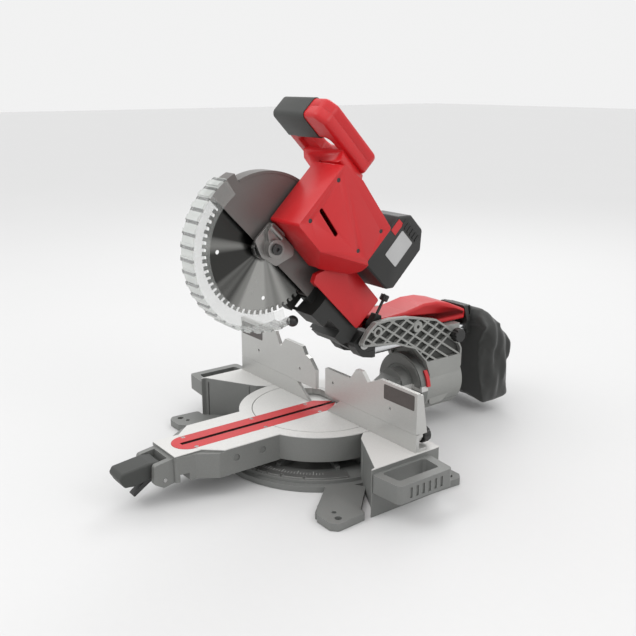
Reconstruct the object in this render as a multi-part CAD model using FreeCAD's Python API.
"""Cordless sliding compound miter saw, 254 mm blade, head raised, slide part way out.

Frame: +X is the operator's right, +Y points away from the operator, +Z is up.
The origin lies on the bench, under the centre of the turntable. Sizes are in millimetres.
The head is modelled lowered, with its pivot at (0, 0, 0), and is then raised and put in place:
there s runs from the pivot towards the operator and n runs up from the arm's centre line.
"""
import FreeCAD, Part
import math
import os

V = FreeCAD.Vector
X, Y, Z = V(1, 0, 0), V(0, 1, 0), V(0, 0, 1)

# ---------------------------------------------------------------- driving dimensions
blade_r = 127.0
blade_plate = 1.8
blade_kerf = 2.6
blade_teeth = 60
arbor_r = 7.94
flange_r = 22.0

table_z = 89.0
turntable_r = 158.5
turntable_z0 = 40.0
groove_r = 132.5
arm_half = 70.0
arm_front_y = -345.0
arm_wide_end_y = -272.0
arm_z0 = 38.0
channel_half = 22.0
channel_z0 = 56.0

kerf_half = 30.0
kerf_thick = 4.0
kerf_front_y = -326.0
kerf_tip_y = 46.0
kerf_slot_half = 4.5
kerf_slot_flare = 9.5

base_ring_r = 190.0
base_flange_r = 201.0
ring_top = 18.0
flange_top = 11.0
wing_half = 289.0
wing_rear_y = 56.0
wing_top = 10.0
foot_h = 14.0
foot_hole_r = 6.5
foot_hole_x = 276.0
foot_hole_y = -166.0
rear_hole_y = 96.0
slot_hole_r = 4.5

fence_split = 122.0
fence_depth = 26.0
fence_wall = 7.0
fence_panel = 8.0
fence_inner = 30.0
fence_outer = 285.0
right_fence_top = 199.5
left_fence_top = 213.5
fence_screw_x = (186.0, 240.0)
fence_screw_y = 15.0
fence_knob_r = 15.0
fence_knob_x = 262.0
fence_knob_z = 109.0
knob_stud_r = 4.0
handle_reach = 352.0
table_bolt_r = 8.0
bolt_z0 = 4.0
grip_slot = 25.0
grip_pin_y = -362.0
grip_pin_z = 47.0
grip_pin_r = 3.5
lock_y = 322.0
lock_r = 4.0
stop_x = 34.0
stop_y = 118.0
stop_z = 262.0
stop_tilt = 32.0

bevel_y = 241.0
hub_r = 68.0
hub_boss_r = 38.0
hub_thick = 18.0
drum_r = 66.0
pivot_bolt_r = 10.0
cheek_outer = 62.0
cheek_inner = 50.0
rib = 4.0
bridge_y0 = 300.0
bridge_y1 = 345.0
bridge_top = 216.5

rail_r = 13.0
rail_x = 30.0
rail_z = 197.0
rail_front_y = 92.0
rail_rear_y = 384.0
bearing_wall = 2.5

pivot_y = 82.0
pivot_z = 215.0
head_angle = 45.8
arm_reach = 298.4
pivot_pin_r = 8.0
tongue_half = 15.5
tongue_r = 20.0
lug_outer = 38.0
lug_r = 25.0

guard_r = 139.0
guard_half = 14.0
guard_wall = 2.5
guard_lip = -8.0
clear_r = 156.0
clear_half = 20.0
clear_wall = 2.6
clear_from = -150.0
clear_to = 11.0

gear_x0 = -60.0
gear_x1 = -24.0
motor_s = 212.0
motor_n = 143.0
motor_r = 29.0
shaft_r = 6.0
big_pulley_r = 24.0
small_pulley_r = 11.0
belt_thick = 3.0
belt_cover_x = -86.0
pulley_x0 = -76.0
pulley_width = 10.0

housing_x0 = 22.5
housing_x1 = 110.0
housing_front = 336.0
housing_rear = 168.0
housing_top = 187.0
housing_bottom = 38.0
housing_wall = 3.5

handle_half = 75.0
handle_rear = 260.0
handle_front = 416.0
handle_n0 = 214.0
handle_n1 = 259.0
handle_split = 236.0
grip_depth = 62.0
grip_skin = 2.0
grip_left = -68.0
grip_right = 25.0
hole_half = 46.0

cover_n0 = 9.0
cover_n1 = 88.0
cover_s0 = 42.0
cover_s1 = 168.0
beam_half = 38.0
relief_n = -16.0
relief_s0 = 66.0
relief_s1 = 105.0
left_relief_x = -17.0
left_relief_s1 = 143.0
left_relief_n = 28.0

battery_s0 = 66.0
battery_s1 = 158.0
battery_n0 = 91.0
battery_n1 = 230.0
battery_x0 = 12.0
battery_x1 = 96.0
latch_s0 = 140.0
latch_s1 = 155.0
latch_n0 = 176.0
latch_n1 = 204.0

duct_half = 40.0
duct_y0 = 131.0
duct_y1 = 374.0
duct_z0 = 219.0
duct_wall = 2.5
cap_thick = 10.0
bag_half = 90.0
bag_y0 = 386.0
bag_y1 = 490.0
bag_z0 = 14.0
bag_top = 226.0

guard_seat_r = 26.0
bearing_r = 17.0
motor_bearing_r = 14.0
cover_right = 47.0
button_x = 48.0
button_s = 388.0
button_r = 6.0
housing_screws_at = [(322, 60), (326, 150), (200, 92), (184, 152)]

running = 0.05
gap = 0.3
screw_r = 2.5


# ---------------------------------------------------------------- shape helpers
def box(x0, x1, y0, y1, z0, z1):
    return Part.makeBox(x1 - x0, y1 - y0, z1 - z0, V(x0, y0, z0))


def rod(start, axis, radius, length):
    return Part.makeCylinder(radius, length, V(*start), axis)


def ring(start, axis, outer, inner, length):
    return rod(start, axis, outer, length).cut(rod(start, axis, inner, length))


def outline(points, radius):
    """Closed planar face through 3-D points, with each corner rounded by up to radius."""
    count = len(points)
    edges = []
    ends = []
    for i in range(count):
        before, here, after = points[i - 1], points[i], points[(i + 1) % count]
        a = before.sub(here)
        b = after.sub(here)
        half = a.getAngle(b) / 2
        reach = min(radius / math.tan(half), 0.48 * a.Length, 0.48 * b.Length)
        r = reach * math.tan(half)
        u = V(a).normalize()
        w = V(b).normalize()
        p = here + u * reach
        q = here + w * reach
        if half > math.pi / 2 - 0.002:
            ends.append((here, here, None))
            continue
        centre = here + (u + w).normalize() * (r / math.sin(half))
        middle = centre + (here - centre).normalize() * r
        ends.append((p, q, middle))
    for i in range(count):
        p, q, middle = ends[i]
        if middle is not None:
            edges.append(Part.Arc(p, middle, q).toShape())
        nxt = ends[(i + 1) % count][0]
        if q.distanceToPoint(nxt) > 1e-6:
            edges.append(Part.LineSegment(q, nxt).toShape())
    return Part.Face(Part.Wire(edges))


def side(points, x0, x1, radius=0.01):
    """Prism along X of an outline in (y, z)."""
    return outline([V(x0, y, z) for y, z in points], radius).extrude(V(x1 - x0, 0, 0))


def plan(points, z0, z1, radius=0.01):
    """Prism along Z of an outline in (x, y)."""
    return outline([V(x, y, z0) for x, y in points], radius).extrude(V(0, 0, z1 - z0))


def front(points, y0, y1, radius=0.01):
    """Prism along Y of an outline in (x, z)."""
    return outline([V(x, y0, z) for x, z in points], radius).extrude(V(0, y1 - y0, 0))


def head_side(points, x0, x1, radius=0.01):
    """Prism along X of an outline in the head's (s, n)."""
    return side([(-s, n) for s, n in points], x0, x1, radius)


def head_box(x0, x1, s0, s1, n0, n1):
    return box(x0, x1, -s1, -s0, n0, n1)


def head_rod(x0, x1, s, n, radius):
    return rod((x0, -s, n), X, radius, x1 - x0)


def fuse(first, *others):
    return first.multiFuse(list(others)).removeSplitter() if others else first


def cut(first, *others):
    for other in others:
        first = first.cut(other)
    return first


def mirror_x(shape):
    return shape.mirror(V(0, 0, 0), X)


def chop(shape, point, normal):
    """Cuts off what lies beyond a plane, on the side its normal points to."""
    block = Part.makeBox(1200, 1200, 1200, V(-600, -600, 0))
    block.Placement = FreeCAD.Placement(point, FreeCAD.Rotation(Z, normal))
    return shape.cut(block)


def edges_on(shape, axis, value):
    """Edges that lie wholly in the plane axis = value."""
    found = []
    for edge in shape.Edges:
        box_of = edge.BoundBox
        low = (box_of.XMin, box_of.YMin, box_of.ZMin)[axis]
        high = (box_of.XMax, box_of.YMax, box_of.ZMax)[axis]
        if abs(low - value) < 1e-4 and abs(high - value) < 1e-4:
            found.append(edge)
    return found


def soften(shape, axis, value, radius):
    return shape.makeFillet(radius, edges_on(shape, axis, value))


def sector(x0, x1, outer, inner, start, stop):
    """Ring sector about the arbor, in the head's frame. Angles go up from the operator's side."""
    full = rod((x0, -arm_reach, 0), X, outer, x1 - x0)
    full = full.cut(rod((x0 - 1, -arm_reach, 0), X, inner, x1 - x0 + 2)) if inner > 0 else full
    steps = max(2, int(math.ceil((stop - start) / 40.0)))
    reach = outer * 1.3
    rays = [start + (stop - start) * i / steps for i in range(steps + 1)]
    fan = [V(x0 - 1, -arm_reach, 0)]
    for a in rays:
        fan.append(V(x0 - 1, -arm_reach - reach * math.cos(math.radians(a)),
                     reach * math.sin(math.radians(a))))
    wedge = Part.Face(Part.makePolygon(fan + [fan[0]])).extrude(V(x1 - x0 + 2, 0, 0))
    return full.common(wedge)


def polar(radius, degrees):
    """(s, n) of a point at a radius and angle about the arbor."""
    a = math.radians(degrees)
    return arm_reach + radius * math.cos(a), radius * math.sin(a)


def raised(shape):
    moved = shape.copy()
    moved.rotate(V(0, 0, 0), X, -head_angle)
    moved.translate(V(0, pivot_y, pivot_z))
    return moved


def save(name, *solids):
    shape = solids[0] if len(solids) == 1 else Part.makeCompound(list(solids))
    for solid in shape.Solids:
        if not solid.isValid():
            print("invalid solid in", name)
    shape.exportStep(os.path.join("parts", name + ".step"))
    print("%-22s %3d solids  %9.0f mm3" % (name, len(shape.Solids), shape.Volume))


def save_head(name, *solids):
    save(name, *[raised(s) for s in solids])


# ---------------------------------------------------------------- base
def both(shape):
    """A right-hand piece and its mirror image on the left."""
    return [shape, mirror_x(shape)]


def wing():
    """Right fixed table wing, hollow underneath."""
    inner = turntable_r + 1.5
    top = [(60, 4), (inner - 18, 4), (inner + 16, -34), (wing_half - 4, -95), (wing_half, -112),
           (wing_half, wing_rear_y), (60, wing_rear_y)]
    body = plan(top, 0, table_z, 5)
    pocket = [(inner + 8, 6), (inner + 24, -26), (wing_half - 12, -88), (wing_half - 8, -98),
              (wing_half - 8, wing_rear_y - 8), (inner + 8, wing_rear_y - 8)]
    body = body.cut(plan(pocket, -1, table_z - wing_top, 4))
    for y in (-44, 6):
        body = body.fuse(box(inner + 30, wing_half - 4, y, y + 5, foot_h, table_z - 4))
    return body


def foot(y, side_of):
    """Right foot pad. side_of is -1 for the front foot and 1 for the rear one."""
    d = side_of
    pad = [(205, y - 50 * d), (wing_half, y - 50 * d), (wing_half + 4, y + 12 * d),
           (wing_half - 8, y + 22 * d), (246, y + 22 * d), (220, y + 2 * d)]
    return plan(pad, 0, foot_h, 6)


def carry_handle():
    """Right loop handle: a grooved bar on two short arms."""
    x0, x1 = wing_half - 3, handle_reach
    y0, y1 = -104.0, 30.0
    z0, z1 = 47.0, 80.0
    loop = plan([(x0, y0), (x1, y0 + 6), (x1, y1 - 6), (x0, y1)], z0, z1, 8)
    hole = [(wing_half + 5, y0 + 17), (x1 - 18, y0 + 21), (x1 - 18, y1 - 21), (wing_half + 5, y1 - 17)]
    loop = loop.cut(plan(hole, z0 - 1, z1 + 1, 6))
    for i in range(6):
        y = y0 + 29 + i * 14
        loop = loop.cut(box(x1 - 2.5, x1 + 1, y, y + 6, z0 + 6, z1 - 8))
    return loop


def base_casting():
    pieces = [
        ring((0, 0, 0), Z, base_ring_r, turntable_r - 16, ring_top),
        rod((0, 0, 0), Z, base_flange_r, flange_top),
        rod((0, 0, 0), Z, 32, turntable_z0),
    ]
    for k in range(8):
        spoke = box(20, turntable_r - 10, -4, 4, 2, ring_top + 6)
        spoke.rotate(V(0, 0, 0), Z, 22.5 + 45 * k)
        pieces.append(spoke)
    web = plan([(150, -90), (236, -186), (278, -120), (210, -50)], 0, flange_top, 4)
    rear_web = plan([(150, 40), (214, 110), (280, 80), (280, 30)], 0, flange_top, 4)
    for piece in (wing(), foot(foot_hole_y, -1), foot(rear_hole_y, 1), carry_handle(), web, rear_web):
        pieces += both(piece)
    body = fuse(*pieces)
    drum_space = rod((0, 0, ring_top + 6.5), Z, turntable_r + 1.2, table_z)
    body = body.cut(drum_space.cut(rod((0, 0, 0), Z, 32, turntable_z0)))
    body = cut(body, rod((0, 0, bolt_z0 - gap), Z, table_bolt_r + running, turntable_z0))
    for x, y in foot_holes():
        small_x = x - math.copysign(20, x)
        body = cut(body, rod((x, y, -1), Z, foot_hole_r, 30), rod((small_x, y + 7, -1), Z, slot_hole_r, 30))
    for x in fence_screw_x:
        for s in (-1, 1):
            body = body.cut(rod((s * x, fence_screw_y, table_z - wing_top - 1), Z, screw_r + running, 20))
    return body


def foot_holes():
    return [(s * foot_hole_x, y) for y in (foot_hole_y, rear_hole_y) for s in (-1, 1)]


def miter_scale():
    """Detent plate: a flat arc round the front with a notch at each preset angle."""
    plate = ring((0, 0, ring_top), Z, base_ring_r - 3, turntable_r + 3, 3.5)
    plate = plate.common(plan([(0, 0), (-260, -90), (-260, -260), (260, -260), (260, -90)], 0, 60))
    for angle in (0, 15, 22.5, 31.6, 45):
        for s in (-1, 1):
            notch = box(-2.5, 2.5, -base_ring_r, -base_ring_r + 9, ring_top - 1, ring_top + 6)
            notch.rotate(V(0, 0, 0), Z, s * angle)
            plate = plate.cut(notch)
    return plate


def lower_fence():
    """Fixed fence: two low walls, joined behind the kerf by a flat bridge."""
    wall = front([(fence_inner, table_z + gap), (fence_outer, table_z + gap),
                  (fence_outer, fence_split), (fence_inner + 42, fence_split)], 0, fence_wall)
    lip = box(fence_inner + 46, fence_outer, 0, fence_depth - 10, fence_split - 6, fence_split)
    sole = box(turntable_r + 8, fence_outer, 0, fence_depth, table_z, table_z + 6)
    half = fuse(wall, lip, sole)
    for x in (100, 150, 215, 272):
        half = half.fuse(box(x, x + 6, 3, fence_depth - 11, table_z + 1, fence_split - 1))
    boss = rod((fence_knob_x, 4, fence_knob_z), Y, 11, fence_depth - 5)
    half = half.fuse(boss).cut(rod((fence_knob_x, 10, fence_knob_z), Y, knob_stud_r + running, 40))
    for x in fence_screw_x:
        half = half.cut(rod((x, fence_screw_y, table_z - 1), Z, screw_r + running, 10))
        half = half.cut(rod((x, fence_screw_y, table_z + 6), Z, 7, 10))
    arch = [(-100, 4), (-72, 36), (-50, 52), (50, 52), (72, 36), (100, 4), (80, 4), (60, 30),
            (44, 40), (-44, 40), (-60, 30), (-80, 4)]
    bridge = plan(arch, table_z + 1.5, table_z + 14)
    return fuse(half, mirror_x(half), bridge)


def upper_fence_right():
    """Right sliding fence: a tall panel with a hump, a rear foot and a ribbed outer end."""
    low = fence_split + gap
    top = [(fence_inner - 6.5, low), (fence_outer, low), (fence_outer, right_fence_top),
           (186, right_fence_top), (170, 191), (152, 183), (143, 193), (136, 200), (119, 200),
           (101, 177), (fence_inner - 6.5, 177)]
    return finish_fence(front(top, 0, fence_panel, 2), low, (48, 215), right_fence_top - 4)


def upper_fence_left():
    """Left sliding fence: stepped towards the blade, notched, and taller at its outer end."""
    low = fence_split + gap
    top = [(-8, low), (-8, 162), (-28, 182), (-42, 186), (-53, 202), (-114, 203), (-130, 184),
           (-134, 186), (-150, 211), (-167, left_fence_top), (-fence_outer, left_fence_top),
           (-fence_outer, low)]
    return finish_fence(front(top, 0, fence_panel, 2), low, (-62, -215), left_fence_top - 4)


def finish_fence(panel, low, hole_x, rib_top):
    s = 1 if hole_x[0] > 0 else -1
    shoe_x = sorted((s * (fence_inner + 44), s * fence_outer))
    shoe = box(shoe_x[0], shoe_x[1], fence_panel - 1, fence_depth - 6, low, low + 7)
    rib_x = sorted((s * (fence_outer - 5), s * fence_outer))
    end = side([(fence_panel - 1, low), (fence_depth, low), (fence_depth - 12, rib_top),
                (fence_panel - 1, rib_top)],
               rib_x[0], rib_x[1])
    body = fuse(panel, shoe, end)
    for x in (s * 130, s * 200, s * 245):
        body = body.fuse(side([(fence_panel - 1, low + 1), (fence_depth - 8, low + 1),
                               (fence_panel - 1, 178)],
                              x - 2, x + 2))
    for x in hole_x:
        body = body.cut(rod((x, -1, 152), Y, 3, fence_depth))
    return body


def knob(start, axis, radius, length, flutes):
    """Hand knob with scallops round its rim."""
    body = rod(start, axis, radius, length)
    body = body.makeChamfer(1.5, [e for e in body.Edges if len(e.Vertexes) == 1])
    mid = V(*start) + axis * (length / 2)
    across = Z if axis.cross(Z).Length > 0.5 else X
    for k in range(flutes):
        flute = rod(tuple(mid + across * (radius + 1.6) - axis * length), axis, 3.4, 2 * length)
        flute.rotate(mid, axis, 360.0 * k / flutes)
        body = body.cut(flute)
    return body


def fence_knob(s):
    start = (s * fence_knob_x, fence_depth + 4, fence_knob_z)
    stud = rod((s * fence_knob_x, 12, fence_knob_z), Y, knob_stud_r, fence_depth)
    return fuse(knob(start, Y, fence_knob_r, 16, 8), stud)


def make_base():
    save("base_casting", base_casting())
    save("miter_scale", miter_scale())
    save("lower_fence", lower_fence())
    save("fence_left", upper_fence_left())
    save("fence_right", upper_fence_right())
    save("fence_knob_left", fence_knob(-1))
    save("fence_knob_right", fence_knob(1))
    screws = []
    for x in fence_screw_x:
        for s in (-1, 1):
            shank = rod((s * x, fence_screw_y, table_z - wing_top + 1), Z, screw_r, wing_top + 6)
            screws.append(fuse(shank, hex_head((s * x, fence_screw_y, table_z + 6), Z, 5, 4)))
    save("fence_screws", *screws)
    shank = rod((0, 0, bolt_z0), Z, table_bolt_r, channel_z0 + 1 - bolt_z0)
    save("table_bolt", fuse(shank, hex_head((0, 0, channel_z0 + gap / 3), Z, 13, 7)))


def hex_head(start, axis, radius, height):
    """Six-sided screw head standing on a point."""
    across = X if abs(axis.x) < 0.5 else Y
    other = axis.cross(across)
    base = V(*start)
    corners = []
    for k in range(6):
        a = math.radians(60 * k)
        corners.append(base + across * (radius * math.cos(a)) + other * (radius * math.sin(a)))
    return Part.Face(Part.makePolygon(corners + [corners[0]])).extrude(axis * height)


# ---------------------------------------------------------------- turntable
def kerf_shape(z0, z1, grow):
    """Outline of the pair of kerf plates: round at the front, pointed behind the fence."""
    h = kerf_half + grow
    y0, y1 = kerf_front_y - grow, kerf_tip_y + grow
    nose = V(0, y0, z0)
    edges = [
        Part.Arc(V(h, y0 + h, z0), nose, V(-h, y0 + h, z0)).toShape(),
        Part.LineSegment(V(-h, y0 + h, z0), V(-h, y1 - 36, z0)).toShape(),
        Part.LineSegment(V(-h, y1 - 36, z0), V(0, y1, z0)).toShape(),
        Part.LineSegment(V(0, y1, z0), V(h, y1 - 36, z0)).toShape(),
        Part.LineSegment(V(h, y1 - 36, z0), V(h, y0 + h, z0)).toShape(),
    ]
    return Part.Face(Part.Wire(edges)).extrude(V(0, 0, z1 - z0))


def turntable():
    disc = rod((0, 0, turntable_z0), Z, turntable_r, table_z - turntable_z0)
    disc = disc.cut(ring((0, 0, turntable_z0 - 1), Z, turntable_r - 9, 36, 30))
    wide = arm_half
    arm = [(-wide, -120), (-wide, arm_wide_end_y), (-46, -306), (-42, arm_front_y), (42, arm_front_y),
           (46, -306), (wide, arm_wide_end_y), (wide, -120)]
    front_arm = plan(arm, arm_z0, table_z - 4, 6)
    land = plan([(-wide, -110), (-wide, arm_wide_end_y + 12), (-38, arm_wide_end_y - 24),
                 (38, arm_wide_end_y - 24), (wide, arm_wide_end_y + 12), (wide, -110)], table_z - 6,
                 table_z, 4)
    nose = box(-42, 42, arm_front_y, arm_wide_end_y - 10, table_z - 8, table_z - 0.5)
    boss = side([(arm_front_y + 6, 84), (arm_front_y - 36, 78), (arm_front_y - 38, 44),
                 (arm_front_y - 20, 33), (arm_front_y + 6, 38)], -36, 36, 6)
    rear = plan([(-52, 100), (52, 100), (46, bevel_y - hub_thick), (-46, bevel_y - hub_thick)],
                turntable_z0 + 4, table_z - 5, 4)
    hub = rod((0, bevel_y - hub_thick - gap, table_z), Y, hub_r, hub_thick)
    front_boss = rod((0, bevel_y - hub_thick - 26, table_z), Y, hub_boss_r, 27)
    neck = side([(110, table_z - 10), (bevel_y - hub_thick - 24, table_z - 10),
                 (bevel_y - hub_thick - 4, 112),
                 (bevel_y - hub_thick - 24, 112), (150, table_z - 2)], -30, 30)
    body = fuse(disc, front_arm, land, nose, boss, rear, hub, front_boss, neck)
    body = body.cut(ring((0, 0, table_z - 1.5), Z, groove_r + 0.9, groove_r - 0.9, 3)
                    .common(box(-200, 200, -200, 0, 0, 200)))
    body = body.cut(kerf_shape(table_z - kerf_thick, table_z + 2, 0.3))
    body = body.cut(box(-channel_half, channel_half, kerf_front_y + 14, kerf_tip_y - 26, channel_z0,
                        table_z))
    # hollow underside of the front arm, and the cut-away by its nose
    body = body.cut(plan([(-wide + 8, -170), (-wide + 8, arm_wide_end_y), (-36, -300), (36, -300),
                          (wide - 8, arm_wide_end_y), (wide - 8, -170)], arm_z0 - 1, 54, 4))
    body = body.cut(box(-80, 80, -336, -318, arm_z0 - 2, 52))
    body = body.cut(box(-grip_slot, grip_slot, arm_front_y - 60, arm_front_y - 6, 30, 90))
    body = body.cut(rod((-50, grip_pin_y, grip_pin_z), X, grip_pin_r + running, 100))
    body = body.cut(rod((0, 0, 0), Z, table_bolt_r + running, 63))
    body = body.cut(rod((0, bevel_y - 80, table_z), Y, pivot_bolt_r + running, 90))
    body = body.cut(rod((0, bevel_y - hub_thick - 40, table_z), Y, 17, 22))
    for x, y in kerf_screws_at():
        body = body.cut(rod((x, y, 66), Z, screw_r - 0.5 + running, 20))
    for x, y, length in ((arm_half, -236, 3), (arm_half, -180, 3)):
        for s in (-1, 1):
            body = body.cut(rod((s * x - length, y, 68), X, 7, 2 * length))
    return body


def kerf_screws_at():
    return [(s * 25.0, y) for y in (-292.0, -143.0, -14.0) for s in (-1, 1)]


def kerf_plate():
    """Right kerf plate. The slot flares downwards so that a tilted blade clears it."""
    plate = kerf_shape(table_z - kerf_thick, table_z, 0).common(box(0.15, 60, -400, 100, 0, 200))
    slot = front([(-20, table_z + 1), (kerf_slot_half, table_z + 1), (kerf_slot_half, table_z),
                  (kerf_slot_flare, table_z - kerf_thick), (kerf_slot_flare, 80), (-20, 80)],
                 kerf_front_y + 16, 100)
    plate = plate.cut(slot)
    for x, y in kerf_screws_at():
        plate = plate.cut(Part.makeCone(2.2, 4.2, 2.2, V(x, y, table_z - 2.2)))
        plate = plate.cut(rod((x, y, 80), Z, screw_r - 0.5 + running, 20))
    return plate


def kerf_screws():
    screws = []
    for x, y in kerf_screws_at():
        head = Part.makeCone(2.1, 4.0, 2.0, V(x, y, table_z - 2.2))
        slot = box(x - 3, x + 3, y - 0.5, y + 0.5, table_z - 1, table_z + 1)
        screws.append(fuse(head, rod((x, y, 70), Z, screw_r - 0.5, 17)).cut(slot))
    return screws


def miter_grip():
    """Moulded grip that the operator turns the table with, on a spigot in the arm's nose."""
    y1 = arm_front_y - 16
    y0 = arm_front_y - 96
    grip = side([(y1, 50), (y1, 78), (y1 - 22, 80), (y0 + 6, 74), (y0, 64), (y0 + 10, 46), (y0 + 30, 44),
                 (y1 - 20, 50)],
                -23, 23, 6)
    grip = grip.makeFillet(4, edges_on(grip, 0, 23) + edges_on(grip, 0, -23))
    grip = grip.cut(rod((-40, grip_pin_y, grip_pin_z), X, grip_pin_r + 8, 80))
    return grip.cut(box(-8, 8, y1 - 50, y1 + 1, 30, 60))


def detent_lever():
    """Bent steel lever under the grip that lifts the detent pin."""
    path = [(grip_pin_y + 9, 50), (grip_pin_y - 4, 53), (grip_pin_y - 24, 42), (grip_pin_y - 50, 22),
            (grip_pin_y - 46, 17), (grip_pin_y - 18, 35), (grip_pin_y - 2, 43), (grip_pin_y + 9, 43)]
    blade = side(path, -7, 7, 2)
    eye = rod((-7, grip_pin_y, grip_pin_z), X, 7, 14)
    return fuse(blade, eye).cut(rod((-8, grip_pin_y, grip_pin_z), X, grip_pin_r + running, 16))


def miter_pointer():
    tongue = plan([(-9, -162), (-3, -184), (3, -184), (9, -162)], ring_top + 6, ring_top + 8, 1)
    return tongue.fuse(box(-9, 9, -166, -159.5, ring_top + 6, arm_z0))


def make_turntable():
    save("turntable", turntable())
    save("kerf_plates", *both(kerf_plate()))
    save("kerf_screws", *kerf_screws())
    save("miter_grip", miter_grip())
    save("detent_lever", detent_lever())
    pin = rod((-37, grip_pin_y, grip_pin_z), X, grip_pin_r, 74)
    save("detent_pin", pin)
    save("miter_pointer", miter_pointer())
    scale = ring((0, bevel_y - hub_thick - 1.3, table_z), Y, hub_r - 4, hub_boss_r + 8, 1)
    save("bevel_scale", scale.common(box(-80, 80, 0, 400, table_z + 6, 300)))
    shank = rod((0, bevel_y - hub_thick - 34, table_z), Y, pivot_bolt_r,
                bridge_y1 + 10 - (bevel_y - hub_thick - 34))
    head = hex_head((0, bevel_y - hub_thick - 38, table_z), Y, 15, 10)
    nut = hex_head((0, bevel_y + 67, table_z), Y, 15, 10)
    save("bevel_bolt", fuse(shank, head), nut.cut(rod((0, bevel_y, table_z), Y, pivot_bolt_r, 100)))


# ---------------------------------------------------------------- bevel arm
def cheek_outline(inset):
    """Side profile of the arched arm, counter-clockwise, with its edge moved in by inset."""
    i = inset
    return [(58 + i, 216 + i), (79 + i, 246 - i), (98 + i, 260 - i), (140, 262 - i), (185, 258 - i),
            (264, 240 - i), (322 - i, 203 - i), (344 - i, 162), (344 - i, 124), (322 - i, 78), (290, 52 + i),
            (252 + i, 52 + i), (250 + i, 120), (238 + i, 152), (205, 186 + i), (150, 206 + i),
            (110, 211 + i)]


def cheek():
    """Right cheek: a flanged plate with diamond ribs and two bosses on its outer face."""
    plate = side(cheek_outline(0), cheek_inner, cheek_outer, 6)
    recess = side(cheek_outline(rib), cheek_inner + 4, cheek_outer + 1, 5)
    recess = recess.cut(box(0, 100, 230, 400, 0, 150))
    ribs = []
    for k in range(7):
        for lean in (-1, 1):
            bar = box(cheek_inner + 3, cheek_outer - 1, -160, 160, -rib / 2, rib / 2)
            bar.rotate(V(0, 0, 0), X, lean * 33)
            bar.translate(V(0, 90 + 38 * k, 220 - 2 * k))
            ribs.append(bar)
    bosses = [rod((cheek_inner + 3, y, z), X, r, cheek_outer - cheek_inner - 3)
              for y, z, r in ((103, 240, 11), (212, 232, 12))]
    plate = plate.cut(recess.cut(Part.makeCompound(ribs + bosses)))
    for y, z, r in ((103, 240, 6), (212, 232, 4)):
        plate = plate.cut(rod((cheek_inner - 1, y, z), X, r, 20))
    return plate


def bevel_arm():
    """Casting that tilts on the turntable's hub and carries the rails in its rear bridge."""
    cheeks = both(cheek())
    drum = rod((0, bevel_y, table_z), Y, drum_r, bridge_y1 - bevel_y)
    column = box(-cheek_inner - 2, cheek_inner + 2, bevel_y + 8, bridge_y1 - 2, 60, 168)
    bridge = box(-cheek_inner - 2, cheek_inner + 2, bridge_y0, bridge_y1, 150, bridge_top)
    body = fuse(drum, column, bridge, *cheeks)
    for x in (-rail_x, rail_x):
        body = body.cut(rod((x, bridge_y0 - 2, rail_z), Y, rail_r + bearing_wall + running,
                            bridge_y1 - bridge_y0 + 4))
    body = body.cut(rod((0, bevel_y - 10, table_z), Y, pivot_bolt_r + running, 200))
    body = body.cut(rod((0, bevel_y + 66, table_z), Y, 17, 60))
    return body.cut(rod((rail_x + rail_r + 3, lock_y, rail_z), X, lock_r + running, 60))


def make_bevel_arm():
    save("bevel_arm", bevel_arm())
    sleeves = [ring((x, y, rail_z), Y, rail_r + bearing_wall, rail_r + running, 18)
               for x in (-rail_x, rail_x) for y in (bridge_y0, bridge_y1 - 18)]
    save("slide_bearings", *sleeves)
    arc = ring((0, bevel_y - 6, table_z), Y, hub_r + 5, hub_r + 1, 9)
    arc = arc.common(front([(0, table_z), (80, table_z + 10), (80, table_z + 58)], 0, 400))
    save("bevel_pointer", arc)
    lever_y = bridge_y1 + 1
    lever = fuse(rod((0, lever_y, table_z), Y, 14, 10), side([(lever_y, table_z), (lever_y + 10, table_z),
                 (lever_y + 18, 24), (lever_y + 10, 24)], -8, 8, 3))
    save("bevel_lock_lever", lever.cut(rod((0, bevel_y, table_z), Y, pivot_bolt_r + running, 200)))
    lock_x = cheek_outer + 1
    save("slide_lock_knob", fuse(knob((lock_x, lock_y, rail_z), X, 15, 16, 8),
                                 rod((rail_x + rail_r + 4, lock_y, rail_z), X, lock_r,
                                     lock_x - rail_x - rail_r)))


# ---------------------------------------------------------------- sliding carriage
def yoke():
    """Fork that holds the head's pivot pin and is fixed on the front ends of the rails."""
    lug = side([(pivot_y - 4, pivot_z - 27), (104, 182), (112, 182), (112, 232), (100, 240),
                (pivot_y, pivot_z + lug_r),
                (pivot_y - lug_r, pivot_z + 8), (pivot_y - lug_r, pivot_z - 1),
                (pivot_y - 11, pivot_z - 19)],
               tongue_half + gap, lug_outer + 5, 8)
    web = box(-lug_outer - 5, lug_outer + 5, 104, 112, 182, 232)
    body = fuse(lug, mirror_x(lug), web)
    for x in (-rail_x, rail_x):
        body = body.cut(rod((x, rail_front_y, rail_z), Y, rail_r, 40))
    body = body.cut(rod((-60, pivot_y, pivot_z), X, pivot_pin_r + running, 120))
    tongue_space = rod((-tongue_half - gap, pivot_y, pivot_z), X, tongue_r + 1.2, 2 * (tongue_half + gap))
    return body.cut(tongue_space)


def rear_cap():
    """Plate across the rear ends of the rails, with the dust outlet through it."""
    y0 = rail_rear_y - cap_thick
    plate = front([(-46, 180), (46, 180), (46, 214), (36, 246), (-36, 246), (-46, 214)], y0, rail_rear_y, 6)
    for x in (-rail_x, rail_x):
        plate = plate.cut(rod((x, y0 - 1, rail_z), Y, rail_r, 40))
    return plate.cut(box(-24, 24, y0 - 1, rail_rear_y + 1, duct_z0 + 4, duct_z0 + 20))


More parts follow.
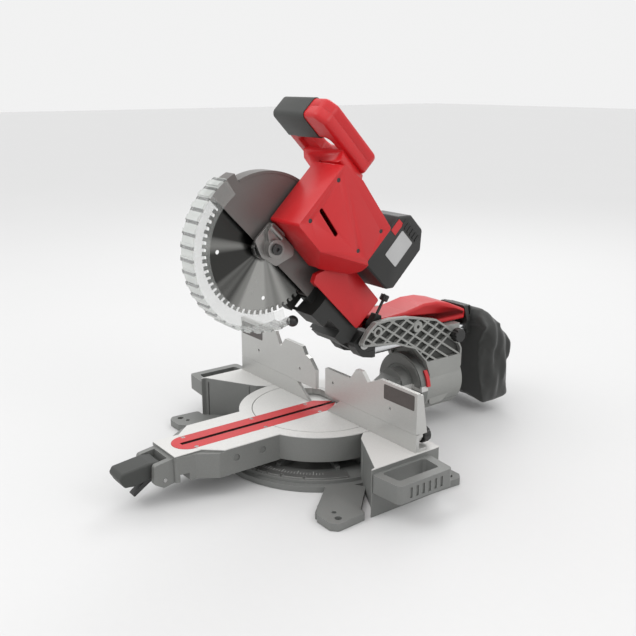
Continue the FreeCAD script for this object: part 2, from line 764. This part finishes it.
def duct_profile(inset):
    i = inset
    return [(duct_y0 + i, duct_z0 + i), (duct_y1 - 0.3 + i, duct_z0 + i), (duct_y1 - 0.3 + i, 240 - i),
            (322, 262 - i),
            (288, 270 - i), (250, 271 - i), (200, 262 - i), (duct_y0 + i, 258 - i)]


def duct_cover():
    """Moulded dust duct above the rails, open at both ends and ridged on top."""
    body = side(duct_profile(0), -duct_half, duct_half, 4)
    body = body.makeFillet(6, [e for e in edges_on(body, 0, duct_half) + edges_on(body, 0, -duct_half)
                               if e.BoundBox.ZMin > duct_z0 + 12 and e.BoundBox.YLength > 20])
    inner = side(duct_profile(duct_wall), -duct_half + duct_wall, duct_half - duct_wall, 3)
    mouth = box(-24, 24, duct_y0 - 5, duct_y0 + 20, duct_z0 + 6, duct_z0 + 30)
    outlet = box(-24, 24, duct_y1 - 30, duct_y1 + 5, duct_z0 + 4, duct_z0 + 18)
    return cut(body, inner, mouth, outlet)


def duct_collar():
    """Short flanged spout that the dust bag's cuff grips."""
    y0 = rail_rear_y
    flange = box(-32, 32, y0, y0 + 3, duct_z0 - 2, duct_z0 + 26)
    spout = box(-28, 28, y0, y0 + 18, duct_z0 + 1, duct_z0 + 23)
    return fuse(flange, spout).cut(box(-24, 24, y0 - 1, y0 + 20, duct_z0 + 4, duct_z0 + 20))


def dust_bag():
    """Soft bag below and behind the outlet, deep at the front and sloping down to the rear."""
    top = bag_top
    body = side([(bag_y0 + 8, bag_z0), (bag_y0 + 2, 60), (bag_y0 + 4, top), (bag_y0 + 20, top + 22),
                 (bag_y0 + 44, top + 4),
                 (bag_y1 - 34, 192), (bag_y1, 156), (bag_y1 - 4, 60), (bag_y1 - 8, bag_z0 + 6)],
                -bag_half, bag_half, 10)
    body = body.cut(box(-34, 34, 300, rail_rear_y + 20, duct_z0 - 5, 300))
    for s in (-1, 1):
        shoulder = front([(s * 40, 260), (s * 100, 260), (s * 100, 200), (s * (bag_half - 6), 214)], 300,
                         600)
        body = body.cut(shoulder)
    return body


def stop_place(x, y, z):
    """Point given along the inclined depth stop: x across, y along the screw, z off its axis."""
    a = math.radians(stop_tilt)
    return (x, stop_y + y * math.sin(a) - z * math.cos(a), stop_z + y * math.cos(a) + z * math.sin(a))


def make_carriage():
    rail = ring((rail_x, rail_front_y, rail_z), Y, rail_r, rail_r - 3, rail_rear_y - rail_front_y)
    save("slide_rails", *both(rail))
    save("yoke", yoke().fuse(stop_bracket()).cut(stop_bore()))
    pin = fuse(rod((-lug_outer - 5, pivot_y, pivot_z), X, pivot_pin_r, 2 * lug_outer + 10),
               rod((lug_outer + 5, pivot_y, pivot_z), X, pivot_pin_r + 3, 3))
    save("pivot_pin", pin)
    save("rear_cap", rear_cap())
    save("duct_cover", duct_cover())
    save("duct_collar", duct_collar())
    save("dust_bag", dust_bag())
    axis = V(0, math.sin(math.radians(stop_tilt)), math.cos(math.radians(stop_tilt)))
    screw = rod(stop_place(stop_x, -16, 0), axis, 3.0, 62)
    grip = knob(stop_place(stop_x, 38, 0), axis, 9.0, 13, 6)
    save("depth_stop_screw", fuse(screw, grip))


def stop_bracket():
    """Ear on the yoke's right lug that the depth-stop screw is threaded through."""
    return side([(100, 226), (112, 226), (128, 252), (128, 266), (116, 272), (100, 252)],
                stop_x - 8, stop_x + 8, 3)


def stop_bore():
    axis = V(0, math.sin(math.radians(stop_tilt)), math.cos(math.radians(stop_tilt)))
    return rod(stop_place(stop_x, -30, 0), axis, 3.0 + running, 80)


# ---------------------------------------------------------------- head
def head_arm():
    """Cast arm: tongue at the pivot, beam to the blade, and a plate on the left that carries the drive."""
    tongue = head_rod(-tongue_half, tongue_half, 0, 0, tongue_r)
    neck = head_side([(0, -tongue_r), (46, -30), (46, 26), (0, tongue_r)], -tongue_half, tongue_half)
    beam = head_side([(30, -18), (44, -33), (158, -36), (158, 8), (136, 66), (44, 28), (30, 12)],
                     -beam_half, beam_half, 4)
    beam = beam.cut(head_rod(-60, 60, arm_reach, 0, clear_r + 2))
    beam = beam.cut(head_rod(-60, 60, 0, 0, lug_r + 6).cut(head_rod(-tongue_half, tongue_half, 0, 0, 60)))
    saddle = head_side([(120, -12), (168, -12), (172, 54), (130, 54)], -10, 10)
    saddle = saddle.cut(head_rod(-60, 60, arm_reach, 0, guard_r))
    plate = head_side([(60, -30), (150, -40), (arm_reach, -34), (arm_reach + 33, 0), (arm_reach, 34),
                       (motor_s + 40, motor_n + 8), (motor_s, motor_n + 30), (motor_s - 36, motor_n + 8),
                       (130, 64), (60, 24)], gear_x0, gear_x1, 10)
    plate = plate.cut(head_box(gear_x0 - 1, -cheek_inner + 3, 0, 228, -100, 62))
    pocket = head_side([(84, -18), (arm_reach - 36, -22), (arm_reach - 60, 40), (motor_s - 20, motor_n - 34),
                        (130, 40), (84, 12)], gear_x0 - 1, gear_x1 - 6, 8)
    boss = head_rod(gear_x1 - 1, -16.6, arm_reach, 0, guard_seat_r)
    body = fuse(tongue, neck, beam, saddle, plate.cut(pocket), boss)
    # clearance for the fences when the head is tilted, mitred or lowered
    body = body.cut(head_box(gear_x0 - 1, beam_half + 1, relief_s0, relief_s1, -60, relief_n))
    body = body.cut(head_box(gear_x0 - 1, left_relief_x, relief_s0, left_relief_s1, -60, left_relief_n))
    body = body.cut(head_rod(-70, 70, 0, 0, pivot_pin_r + running))
    body = body.cut(head_rod(gear_x0 - 1, -10, arm_reach, 0, bearing_r))
    return body.cut(head_rod(gear_x0 - 1, gear_x1 + 1, motor_s, motor_n, motor_bearing_r))


def head_cover():
    """Moulded cover over the arm's beam."""
    outline_pts = [(cover_s0, cover_n0), (cover_s1 + 24, cover_n0), (cover_s1 + 30, 24),
                   (cover_s1 - 6, cover_n1),
                   (cover_s0 - 4, cover_n1 - 4)]
    body = head_side(outline_pts, gear_x1 + gap, cover_right, 5)
    body = body.cut(head_side([(cover_s0 - 20, cover_n0 - 5), (cover_s1 + 10, cover_n0 - 5),
                               (cover_s1 - 14, cover_n1 - 6),
                               (cover_s0 + 6, cover_n1 - 8), (cover_s0 + 4, 40)], gear_x1 - 2,
                               cover_right - 3))
    body = body.cut(head_rod(-70, cover_right - 12, arm_reach, 0, clear_r + 2))
    return body.cut(head_box(gear_x1 - 1, 17, 100, 240, -5,
                             60).common(head_rod(-60, 60, arm_reach, 0, clear_r + 2)))


def housing_outline(inset):
    i = inset
    return [(housing_front - i, housing_bottom + i), (266, 36 + i), (205, 33 + i), (150 + i, 66 + i / 2),
            (144 + i, 80), (housing_rear + i, 92), (housing_rear + i, 172 - i), (284, housing_top - i),
            (housing_front - i, 178 - i)]


def facet(shape, inset):
    """Slants the lower rear of the housing from its right face in towards the arm cover."""
    a = V(housing_x1 - inset, -266, 36 + inset)
    b = V(housing_x1 - inset, -190, 74 + inset)
    c = V(cover_right + 3 - inset, -144, 62 + inset)
    normal = (b - a).cross(c - a).normalize()
    normal = normal if normal.z < 0 else normal * -1
    return chop(shape, a, normal)


def motor_housing():
    """Main moulding on the right of the blade, with a vent and the battery's rear face."""
    shell = head_side(housing_outline(0), housing_x0, housing_x1, 6)
    shell = facet(shell, 0)
    inner = head_side(housing_outline(housing_wall), housing_x0 + housing_wall, housing_x1 - housing_wall, 4)
    inner = facet(inner, housing_wall)
    shell = shell.cut(inner)
    vent = head_side([(258, 75), (320, 84), (320, 93), (258, 84)], housing_x1 - 6, housing_x1 + 1, 4)
    shell = shell.cut(vent)
    shell = shell.cut(head_rod(housing_x0 - 1, housing_x0 + 5, motor_s, motor_n, 14))
    shell = shell.cut(head_box(housing_x0 - 1, cover_right + gap, 90, cover_s1 + 40, 0, cover_n1 + gap))
    for s, n in housing_screws_at:
        shell = shell.cut(head_rod(housing_x1 - 2.2, housing_x1 + 1, s, n, 4.2))
        shell = shell.cut(head_rod(housing_x1 - 8, housing_x1 + 1, s, n, screw_r - 0.5 + running))
    return shell


def housing_screws():
    return [fuse(head_rod(housing_x1 - 2.2, housing_x1 - 0.6, s, n, 4.0),
                 head_rod(housing_x1 - 8, housing_x1 - 2, s, n, screw_r - 0.5)) for s,
                 n in housing_screws_at]


def handle_outline():
    return [(handle_rear, -handle_half), (handle_front - 20, -handle_half),
            (handle_front, -handle_half + 16),
            (handle_front, handle_half - 16), (handle_front - 20, handle_half), (handle_rear, handle_half)]


def handle_plate(n0, n1, round_at):
    """One half of the D-shaped handle, between two levels, with its outer edge rounded."""
    face = outline([V(x, -s, n0) for s, x in handle_outline()], 16)
    body = face.extrude(V(0, 0, n1 - n0))
    s0, s1 = handle_rear + 32, handle_front - grip_depth
    hole = outline([V(x, -s, n0 - 1) for s, x in ((s0, -hole_half), (s1, -hole_half), (s1, hole_half),
                                                  (s0, hole_half))],
                   12).extrude(V(0, 0, n1 - n0 + 2))
    return soften(body.cut(hole), 2, round_at, 9)


def trigger_pocket():
    s1 = handle_front - grip_depth
    return head_box(-24, 24, s1 - 2, s1 + 26, 222, 250)


def handle_lower():
    """Lower half of the handle, with the neck that joins it to the motor housing."""
    plate = handle_plate(handle_n0, handle_split, handle_n0)
    neck = front([(24, 162), (-28, 188), (-58, handle_n0 + 2), (66, handle_n0 + 2), (84, housing_top + gap),
                  (24, housing_top + gap)], -(housing_front - 8), -(handle_rear + 2), 6)
    neck = neck.cut(head_rod(-80, housing_x0, arm_reach, 0, clear_r + 3))
    neck = neck.cut(head_box(housing_x0 - gap, 120, 200, 400, 0, housing_top + gap))
    body = plate.fuse(neck)
    body = body.cut(trigger_pocket())
    return body.cut(button_bore())


def handle_upper():
    plate = handle_plate(handle_split, handle_n1, handle_n1)
    return plate.cut(trigger_pocket()).cut(button_bore())


def button_bore():
    return rod((button_x, -button_s, handle_n1 - 18), Z, button_r + running, 30)


def grip_sleeve():
    """Soft overmould round the handle's front bar."""
    def bar(x0, x1, grow):
        s0 = handle_front - grip_depth - grow
        n0, n1 = handle_n0 - grow, handle_n1 + grow
        block = head_box(x0, x1, s0, handle_front + grow, n0, n1)
        return block.makeFillet(9 + grow, [e for e in block.Edges if e.BoundBox.XLength > 1])
    skin = bar(grip_left, grip_right, grip_skin).cut(bar(grip_left - 1, grip_right + 1, 0))
    skin = skin.cut(head_box(-25, 25, 300, handle_front - grip_depth + 2, 221, 251))
    arm = head_box(grip_left - 1, -hole_half + 1, 0, handle_front - grip_depth + 6, 0, 400)
    skin = skin.cut(arm)
    skin = skin.cut(handle_plate(handle_n0, handle_split, handle_n0))
    skin = skin.cut(handle_plate(handle_split, handle_n1, handle_n1))
    return max(skin.Solids, key=lambda s: s.Volume)


def trigger():
    s1 = handle_front - grip_depth
    body = head_side([(s1 - 8, 224), (s1 - 10, 236), (s1 - 8, 248), (s1 + 16, 248), (s1 + 16, 224)], -22,
                     22, 3)
    return body


def upper_guard():
    """Fixed cast half guard over the blade, with a flap at the operator's end."""
    def half_disc(radius, half):
        return head_rod(-half, half, arm_reach, 0, radius)
    keep = head_box(-60, 60, 100, 500, guard_lip, 300)
    outer = half_disc(guard_r - gap, guard_half)
    flap = sector(-guard_half, guard_half, guard_r + 13, guard_r - 8, -3, 19)
    bead = half_disc(guard_r - gap, guard_half + 1.5).cut(half_disc(guard_r - 5, guard_half + 2))
    inner = half_disc(guard_r - gap - 5, guard_half - guard_wall)
    shell = fuse(outer, flap, bead.common(sector(-20, 20, 200, 0, 20, 150))).cut(inner).common(keep)
    notch = head_rod(-30, 30, arm_reach, 0, guard_seat_r + 2)
    return shell.cut(notch).cut(head_box(-30, 30, arm_reach - 32, arm_reach + 32, -40, 2))


def lower_guard():
    """Clear guard that swings round the arbor: a rim, two side sectors, a spoke and a hub ring."""
    rim = sector(-clear_half, clear_half, clear_r, clear_r - clear_wall, clear_from, clear_to)
    left = sector(-clear_half, -clear_half + clear_wall, clear_r, 112, clear_from, clear_to)
    right = sector(clear_half - clear_wall, clear_half, clear_r, 122, clear_from, clear_to)
    hub = head_rod(-clear_half, -clear_half + clear_wall, arm_reach, 0, guard_seat_r + 11)
    spoke = sector(-clear_half, -clear_half + clear_wall, 114, 20, -130, -70)
    body = fuse(rim, left, right, hub, spoke)
    for k in range(18):
        start = clear_from + 4 + 8.8 * k
        rib_bar = sector(-clear_half, clear_half, clear_r + 2.2, clear_r - 1, start, start + 3.5)
        body = body.fuse(rib_bar)
    tail = sector(-4, 4, clear_r + 9, clear_r - 4, clear_from - 7, clear_from + 1)
    body = body.fuse(tail)
    return body.cut(head_rod(-60, 0, arm_reach, 0, guard_seat_r + 3 * running))


def guard_knob():
    s, n = polar(clear_r + 9, clear_from - 9)
    ball = Part.makeSphere(11, V(0, -s, n))
    return ball.cut(sector(-4, 4, clear_r + 9, clear_r - 4, clear_from - 7, clear_from + 1))


def guard_bracket():
    """Cast bracket that stiffens the arbor's outer end and covers the blade bolt."""
    plate = head_side([(334, 34), (336, -12), (304, -24), (268, -16), (252, 22), (262, 33)],
                      clear_half + 2.5,
                      clear_half + 8, 6)
    boss = head_rod(clear_half + 4, 42, arm_reach, 2, 17)
    arm = head_side([(336, 34), (330, 14), (300, -8), (284, 0), (300, 36)], clear_half + 4, 36, 5)
    pin_barrel = rod((34, -334, 26), Y, 6, 34)
    body = fuse(plate, boss, arm, pin_barrel)
    body = body.cut(head_rod(clear_half, 34, arm_reach, 0, 13))
    return body.cut(head_rod(30, 50, arm_reach, 2, 4 + running))


def bracket_bolt():
    head = head_rod(42, 47, arm_reach, 2, 10)
    socket = head_box(43, 48, arm_reach - 3.2, arm_reach + 3.2, -1.2, 5.2)
    return fuse(head.cut(socket), head_rod(35, 42.5, arm_reach, 2, 4))


def blade():
    """Toothed disc: a gullet is cut in front of each tooth and the tips are wider than the plate."""
    root = blade_r - 9.0
    points = []
    step = 360.0 / blade_teeth
    for k in range(blade_teeth):
        a = k * step
        for radius, shift in ((root, 0.0), (root + 1.5, 0.16 * step), (blade_r, 0.22 * step),
                              (blade_r - 1.2, 0.52 * step),
                              (root, 0.72 * step)):
            s, n = polar(radius, a + shift)
            points.append(V(-blade_plate / 2, -s, n))
    disc = Part.Face(Part.makePolygon(points + [points[0]])).extrude(V(blade_plate, 0, 0))
    tips = []
    for k in range(blade_teeth):
        tip = box(-blade_kerf / 2, blade_kerf / 2, -1.3, 1.3, blade_r - 6.5, blade_r - 0.9)
        tip.rotate(V(0, 0, 0), X, 0.37 * step + k * step)
        tip.translate(V(0, -arm_reach, 0))
        tips.append(tip)
    disc = disc.multiFuse(tips)
    disc = disc.cut(head_rod(-5, 5, arm_reach, 0, arbor_r))
    for k in range(4):
        s, n = polar(96, 45 + 90 * k)
        disc = disc.cut(head_rod(-5, 5, s, n, 4))
    return disc


def arbor():
    """Stepped shaft from the left pulley, through both bearings, to the blade."""
    body = fuse(head_rod(gear_x0 - 22, -10, arm_reach, 0, arbor_r),
                head_rod(-10, 6.2, arm_reach, 0, arbor_r - 0.02))
    return body.cut(head_rod(-4, 8, arm_reach, 0, 5 + running))


def belt(x0, x1):
    """Closed belt round both pulleys, made of two tangent runs and two arcs."""
    def stadium(extra):
        c1, r1 = V(x0, -arm_reach, 0), big_pulley_r + extra
        c2, r2 = V(x0, -motor_s, motor_n), small_pulley_r + extra
        line = c2 - c1
        base = math.atan2(line.z, line.y)
        lean = math.acos((r1 - r2) / line.Length)

        def at(c, r, a):
            return V(x0, c.y + r * math.cos(a), c.z + r * math.sin(a))
        edges = [
            Part.LineSegment(at(c1, r1, base + lean), at(c2, r2, base + lean)).toShape(),
            Part.Arc(at(c2, r2, base + lean), at(c2, r2, base), at(c2, r2, base - lean)).toShape(),
            Part.LineSegment(at(c2, r2, base - lean), at(c1, r1, base - lean)).toShape(),
            Part.Arc(at(c1, r1, base - lean), at(c1, r1, base + math.pi), at(c1, r1, base + lean)).toShape(),
        ]
        return Part.Face(Part.Wire(edges)).extrude(V(x1 - x0, 0, 0))
    return stadium


def belt_cover():
    """Cup-shaped cover over the belt on the left."""
    outer = belt(belt_cover_x, gear_x0)(14)
    inner = belt(belt_cover_x + 2.5, gear_x0 + 1)(10)
    body = outer.makeFillet(3, edges_on(outer, 0, belt_cover_x)).cut(inner)
    return body


def pulley(x0, x1, s, n, radius, bore):
    body = head_rod(x0, x1, s, n, radius)
    rims = fuse(head_rod(x0 - 1.5, x0 - 0.2, s, n, radius + 4.5),
                head_rod(x1 + 0.2, x1 + 1.5, s, n, radius + 4.5),
                head_rod(x0 - 0.3, x1 + 0.3, s, n, radius - 0.5))
    return fuse(body, rims).cut(head_rod(x0 - 4, x1 + 4, s, n, bore))


def make_drive():
    save_head("blade", blade())
    save_head("arbor", arbor())
    inner = ring((-8.5, -arm_reach, 0), X, flange_r, arbor_r, 8.5 - blade_plate / 2)
    outer = ring((blade_plate / 2, -arm_reach, 0), X, flange_r, arbor_r, 5.3)
    save_head("blade_flanges", inner, outer)
    bolt = fuse(hex_head((6.2, -arm_reach, 0), X, 9.5, 6), head_rod(-3.5, 6.3, arm_reach, 0, 5))
    save_head("blade_bolt", bolt)
    races = [ring((x, -arm_reach, 0), X, bearing_r, arbor_r + running, 10) for x in (gear_x0 + 2,
            gear_x1 - 4)]
    races.append(ring((gear_x0 + 8, -motor_s, motor_n), X, motor_bearing_r, shaft_r + running, 10))
    save_head("head_bearings", *races)
    save_head("pulley_large", pulley(pulley_x0, pulley_x0 + pulley_width, arm_reach, 0, big_pulley_r,
                                     arbor_r))
    save_head("pulley_small", pulley(pulley_x0, pulley_x0 + pulley_width, motor_s, motor_n,
                                     small_pulley_r, shaft_r))
    loop = belt(pulley_x0 + 0.5, pulley_x0 + pulley_width - 0.5)
    save_head("drive_belt", loop(belt_thick + 0.1).cut(loop(0.1)))
    save_head("belt_cover", belt_cover())
    shaft = head_rod(gear_x0 - 20, housing_x1 - 12, motor_s, motor_n, shaft_r)
    core = ring((38, -motor_s, motor_n), X, 17, shaft_r, 42)
    save_head("motor_rotor", fuse(shaft, core))
    stator = ring((36, -motor_s, motor_n), X, motor_r, 17.6, 46)
    slots = []
    for k in range(6):
        slot = box(35, 83, -3, 3, 17, 26)
        slot.rotate(V(0, 0, 0), X, 60 * k)
        slot.translate(V(0, -motor_s, motor_n))
        slots.append(slot)
    save_head("motor_stator", cut(stator, *slots))
    fan = ring((86, -motor_s, motor_n), X, 10, shaft_r, 12)
    fan = fan.fuse(ring((86, -motor_s, motor_n), X, 30, shaft_r, 2))
    for k in range(9):
        vane = box(87, 98, -1, 1, 8, 30)
        vane.rotate(V(0, 0, 0), X, 40 * k)
        vane.translate(V(0, -motor_s, motor_n))
        fan = fan.fuse(vane)
    save_head("motor_fan", fan)


def battery_pack():
    body = head_side([(battery_s0, battery_n0 + 14), (battery_s0 + 14, battery_n0), (battery_s1, battery_n0),
                      (battery_s1, battery_n1 - 22), (battery_s1 - 22, battery_n1),
                      (battery_s0 + 26, battery_n1),
                      (battery_s0, battery_n1 - 30)], battery_x0, battery_x1, 7)
    body = body.makeChamfer(3, [e for e in edges_on(body, 0, battery_x1) + edges_on(body, 0, battery_x0)])
    for n in (112, 124, 136):
        body = body.cut(head_box(battery_x0 - 1, battery_x1 + 1, battery_s0 - 1, battery_s0 + 2, n, n + 5))
    for x in (battery_x0 + 24, battery_x1 - 20):
        body = body.fuse(head_box(x, x + 6, battery_s1 - 1, battery_s1 + 3.5, battery_n0 + 14, 172))
        body = body.fuse(head_box(x - 2.5, x + 8.5, battery_s1 + 3.5, battery_s1 + 5.5, battery_n0 + 14,
                                  172))
    for x0, x1 in latch_x():
        body = body.cut(head_box(x0 - gap, x1 + gap, latch_s0 - gap, latch_s1 + gap, latch_n0 - gap,
                                 latch_n1 + gap))
    return body


def latch_x():
    return [(battery_x0 - 0.5, battery_x0 + 6), (battery_x1 - 6, battery_x1 + 0.5)]


def battery_latch(right):
    x0, x1 = latch_x()[1 if right else 0]
    outer, inner = (x1, x0 + 2.8) if right else (x0, x1 - 2.8)
    return head_box(min(outer, inner), max(outer, inner), latch_s0, latch_s1, latch_n0, latch_n1)


def battery_mount():
    """Rail plate on the housing's rear that the battery slides down onto."""
    plate = head_box(housing_x0 + 2, housing_x1 - 8, battery_s1 + 6.5, housing_rear - 0.05, 100, 168)
    body = plate
    for x in (battery_x0 + 24, battery_x1 - 20):
        for x0, x1 in ((x - 6.5, x - 3), (x + 9, x + 12.5)):
            body = body.fuse(head_box(x0, x1, battery_s1 + 1.2, battery_s1 + 7, 106, 166))
    return body


def make_head():
    save_head("head_arm", head_arm())
    save_head("head_cover", head_cover())
    save_head("motor_housing", motor_housing())
    save_head("handle_lower", handle_lower())
    save_head("handle_upper", handle_upper())
    save_head("grip_sleeve", grip_sleeve())
    save_head("trigger", trigger())
    button = rod((button_x, -button_s, handle_n1 - 13.5), Z, button_r, 17)
    save_head("lock_off_button", button)
    save_head("upper_guard", upper_guard())
    save_head("lower_guard", lower_guard())
    save_head("guard_knob", guard_knob())
    save_head("guard_bracket", guard_bracket())
    save_head("head_screws", bracket_bolt(), *housing_screws())
    save_head("battery_pack", battery_pack())
    save_head("battery_latch_left", battery_latch(False))
    save_head("battery_latch_right", battery_latch(True))
    save_head("battery_mount", battery_mount())


os.makedirs("parts", exist_ok=True)
make_base()
make_turntable()
make_bevel_arm()
make_carriage()
make_head()
make_drive()
